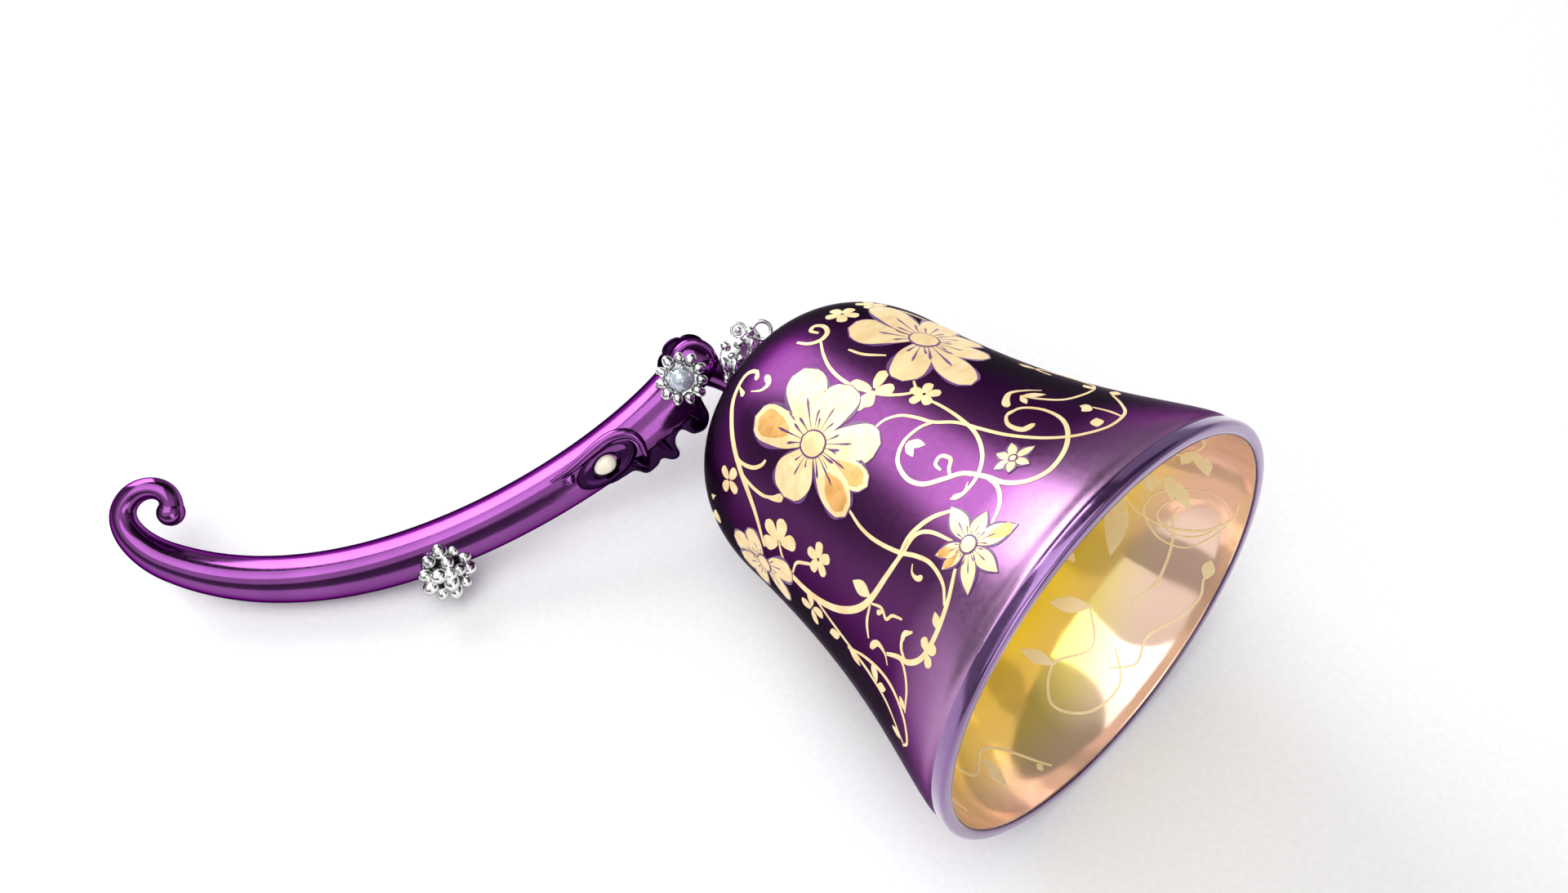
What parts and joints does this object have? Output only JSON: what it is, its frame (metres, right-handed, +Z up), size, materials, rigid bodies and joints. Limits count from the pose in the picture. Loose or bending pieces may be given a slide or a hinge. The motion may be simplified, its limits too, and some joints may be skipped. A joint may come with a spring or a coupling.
{
  "type": "porcelain hand bell",
  "caption": "Lying porcelain hand bell with a flared mouth, gilded inside, a curled metal handle with bead flowers and a hanging clapper.",
  "frame": {"origin": "middle of the object's footprint, on the surface it lies on", "axes": "+X from the handle towards the bell's mouth, +Z up as it lies on its side; the bell's axis rises 11.5 degrees towards the mouth in the XZ plane"},
  "size_m": [0.1488, 0.1344, 0.0718],
  "materials": {
    "purple_glaze": "metallic lustre glaze, gilt inside",
    "purple_metal": "mirror purple plating",
    "silver": "polished",
    "pale_pearl": "pearl",
    "cream_stone": "polished",
    "steel": "satin",
    "brass": "polished",
    "felt": "matt"
  },
  "bodies": {
    "bell": {"bell_shell": "purple_glaze", "crown_gasket": "felt", "crown_collar": "purple_metal", "handle_neck": "purple_metal", "handle_knuckle": "purple_metal", "scalloped_flange": "purple_metal", "leaf_spurs": "purple_metal", "handle_stem": "purple_metal", "handle_curl": "purple_metal", "curl_ball": "purple_metal", "cabochon_bezel": "purple_metal", "cabochon": "cream_stone", "flower_setting": "silver", "flower_beads": "silver", "flower_pearl": "pale_pearl", "cluster_setting": "silver", "cluster_beads": "silver", "cluster_stone": "silver", "ornament_base": "silver", "ornament_beads": "silver", "ornament_rings": "silver", "tie_bolt": "steel", "felt_washer": "felt", "steel_washer": "steel", "hanger_nut": "steel"},
    "swivel": {"swivel_yoke": "brass", "yoke_pin": "steel"},
    "clapper": {"clapper_rod": "brass", "clapper_ball": "brass", "clapper_cap": "brass"}
  },
  "joints": [
    {"name": "clapper_swivel", "type": "hinge", "parent": "bell", "child": "swivel", "pos_m": [0.06723, 0.03071, 0.03619], "axis": [0.9799, 0, 0.1994], "continuous": true},
    {"name": "clapper_swing", "type": "hinge", "parent": "swivel", "child": "clapper", "pos_m": [0.00755, 0.03071, 0.02405], "axis": [0, -1, 0], "range_deg": [0, 83]}
  ]
}
